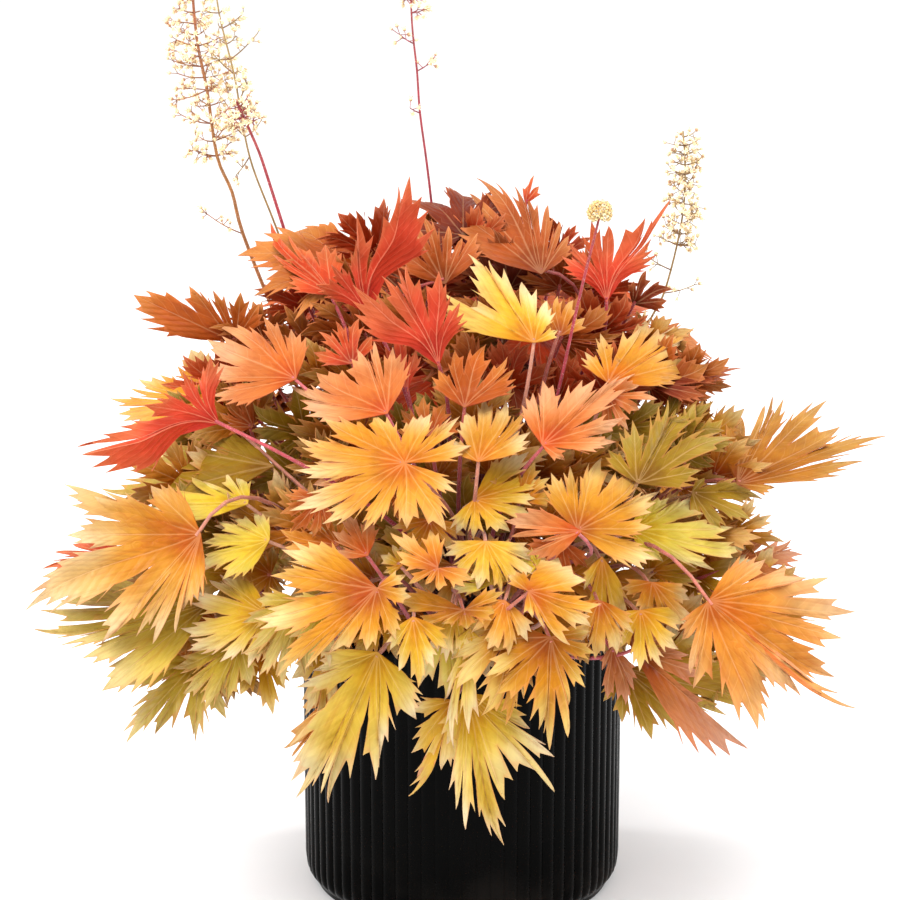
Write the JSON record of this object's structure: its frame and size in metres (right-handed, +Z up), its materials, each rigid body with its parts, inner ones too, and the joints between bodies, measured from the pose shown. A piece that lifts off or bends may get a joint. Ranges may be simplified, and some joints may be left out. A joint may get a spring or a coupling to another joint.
{
  "type": "potted heuchera plant",
  "caption": "Cut-leaved heuchera in autumn gold, orange and red, with slender cream flower spikes, standing in a black ribbed round pot.",
  "frame": {"origin": "centre of the pot's flat underside", "axes": "+Z up along the pot's axis, -Y towards the viewer of the picture, +X to the viewer's right"},
  "size_m": [0.4926, 0.4252, 0.5825],
  "materials": {
    "crown": "rough woody rootstock",
    "flower_stem_bud": "thin fleshy flower stem with small florets",
    "flower_stem_left_red": "thin fleshy flower stem with small florets",
    "flower_stem_left_tall": "thin fleshy flower stem with small florets",
    "flower_stem_left_thin": "thin fleshy flower stem with small florets",
    "flower_stem_middle": "thin fleshy flower stem with small florets",
    "flower_stem_right": "thin fleshy flower stem with small florets",
    "leaf_front_03": "thin, slightly hairy leaf, veined and matt to satin",
    "leaf_front_06": "thin, slightly hairy leaf, veined and matt to satin",
    "leaf_front_09": "thin, slightly hairy leaf, veined and matt to satin",
    "leaf_front_10": "thin, slightly hairy leaf, veined and matt to satin",
    "leaf_front_12": "thin, slightly hairy leaf, veined and matt to satin",
    "leaf_front_14": "thin, slightly hairy leaf, veined and matt to satin",
    "leaf_front_15": "thin, slightly hairy leaf, veined and matt to satin",
    "leaf_front_18": "thin, slightly hairy leaf, veined and matt to satin",
    "leaf_front_20": "thin, slightly hairy leaf, veined and matt to satin",
    "leaf_front_21": "thin, slightly hairy leaf, veined and matt to satin",
    "leaf_heart_01": "thin, slightly hairy leaf, veined and matt to satin",
    "leaf_heart_02": "thin, slightly hairy leaf, veined and matt to satin",
    "leaf_heart_03": "thin, slightly hairy leaf, veined and matt to satin",
    "leaf_high_02": "thin, slightly hairy leaf, veined and matt to satin",
    "leaf_high_03": "thin, slightly hairy leaf, veined and matt to satin",
    "leaf_high_05": "thin, slightly hairy leaf, veined and matt to satin",
    "leaf_high_07": "thin, slightly hairy leaf, veined and matt to satin",
    "leaf_inner_02": "thin, slightly hairy leaf, veined and matt to satin",
    "leaf_inner_03": "thin, slightly hairy leaf, veined and matt to satin",
    "leaf_left_05": "thin, slightly hairy leaf, veined and matt to satin",
    "leaf_left_07": "thin, slightly hairy leaf, veined and matt to satin",
    "leaf_left_08": "thin, slightly hairy leaf, veined and matt to satin",
    "leaf_left_09": "thin, slightly hairy leaf, veined and matt to satin",
    "leaf_left_11": "thin, slightly hairy leaf, veined and matt to satin",
    "leaf_low_01": "thin, slightly hairy leaf, veined and matt to satin",
    "leaf_low_02": "thin, slightly hairy leaf, veined and matt to satin",
    "leaf_low_04": "thin, slightly hairy leaf, veined and matt to satin",
    "leaf_low_05": "thin, slightly hairy leaf, veined and matt to satin",
    "leaf_low_06": "thin, slightly hairy leaf, veined and matt to satin",
    "leaf_low_07": "thin, slightly hairy leaf, veined and matt to satin",
    "leaf_low_08": "thin, slightly hairy leaf, veined and matt to satin",
    "leaf_low_09": "thin, slightly hairy leaf, veined and matt to satin",
    "leaf_middle_01": "thin, slightly hairy leaf, veined and matt to satin",
    "leaf_middle_02": "thin, slightly hairy leaf, veined and matt to satin",
    "leaf_middle_03": "thin, slightly hairy leaf, veined and matt to satin",
    "leaf_middle_05": "thin, slightly hairy leaf, veined and matt to satin",
    "leaf_middle_06": "thin, slightly hairy leaf, veined and matt to satin",
    "leaf_middle_08": "thin, slightly hairy leaf, veined and matt to satin",
    "leaf_right_01": "thin, slightly hairy leaf, veined and matt to satin",
    "leaf_right_03": "thin, slightly hairy leaf, veined and matt to satin",
    "leaf_right_04": "thin, slightly hairy leaf, veined and matt to satin",
    "leaf_right_07": "thin, slightly hairy leaf, veined and matt to satin",
    "leaf_right_10": "thin, slightly hairy leaf, veined and matt to satin",
    "leaf_right_12": "thin, slightly hairy leaf, veined and matt to satin",
    "leaf_top_04": "thin, slightly hairy leaf, veined and matt to satin",
    "leaf_top_06": "thin, slightly hairy leaf, veined and matt to satin",
    "leaf_top_07": "thin, slightly hairy leaf, veined and matt to satin",
    "leaf_top_09": "thin, slightly hairy leaf, veined and matt to satin",
    "pot": "moulded black plastic, semi-gloss, finely ribbed",
    "potting_soil": "crumbly dark potting mix with bark"
  },
  "bodies": {
    "root": {"crown": "crown", "flower_stem_bud": "flower_stem_bud", "flower_stem_left_red": "flower_stem_left_red", "flower_stem_left_tall": "flower_stem_left_tall", "flower_stem_left_thin": "flower_stem_left_thin", "flower_stem_middle": "flower_stem_middle", "flower_stem_right": "flower_stem_right", "leaf_front_03": "leaf_front_03", "leaf_front_06": "leaf_front_06", "leaf_front_09": "leaf_front_09", "leaf_front_10": "leaf_front_10", "leaf_front_12": "leaf_front_12", "leaf_front_14": "leaf_front_14", "leaf_front_15": "leaf_front_15", "leaf_front_18": "leaf_front_18", "leaf_front_20": "leaf_front_20", "leaf_front_21": "leaf_front_21", "leaf_heart_01": "leaf_heart_01", "leaf_heart_02": "leaf_heart_02", "leaf_heart_03": "leaf_heart_03", "leaf_high_02": "leaf_high_02", "leaf_high_03": "leaf_high_03", "leaf_high_05": "leaf_high_05", "leaf_high_07": "leaf_high_07", "leaf_inner_02": "leaf_inner_02", "leaf_inner_03": "leaf_inner_03", "leaf_left_05": "leaf_left_05", "leaf_left_07": "leaf_left_07", "leaf_left_08": "leaf_left_08", "leaf_left_09": "leaf_left_09", "leaf_left_11": "leaf_left_11", "leaf_low_01": "leaf_low_01", "leaf_low_02": "leaf_low_02", "leaf_low_04": "leaf_low_04", "leaf_low_05": "leaf_low_05", "leaf_low_06": "leaf_low_06", "leaf_low_07": "leaf_low_07", "leaf_low_08": "leaf_low_08", "leaf_low_09": "leaf_low_09", "leaf_middle_01": "leaf_middle_01", "leaf_middle_02": "leaf_middle_02", "leaf_middle_03": "leaf_middle_03", "leaf_middle_05": "leaf_middle_05", "leaf_middle_06": "leaf_middle_06", "leaf_middle_08": "leaf_middle_08", "leaf_right_01": "leaf_right_01", "leaf_right_03": "leaf_right_03", "leaf_right_04": "leaf_right_04", "leaf_right_07": "leaf_right_07", "leaf_right_10": "leaf_right_10", "leaf_right_12": "leaf_right_12", "leaf_top_04": "leaf_top_04", "leaf_top_06": "leaf_top_06", "leaf_top_07": "leaf_top_07", "leaf_top_09": "leaf_top_09", "pot": "pot", "potting_soil": "potting_soil"}
  },
  "joints": []
}
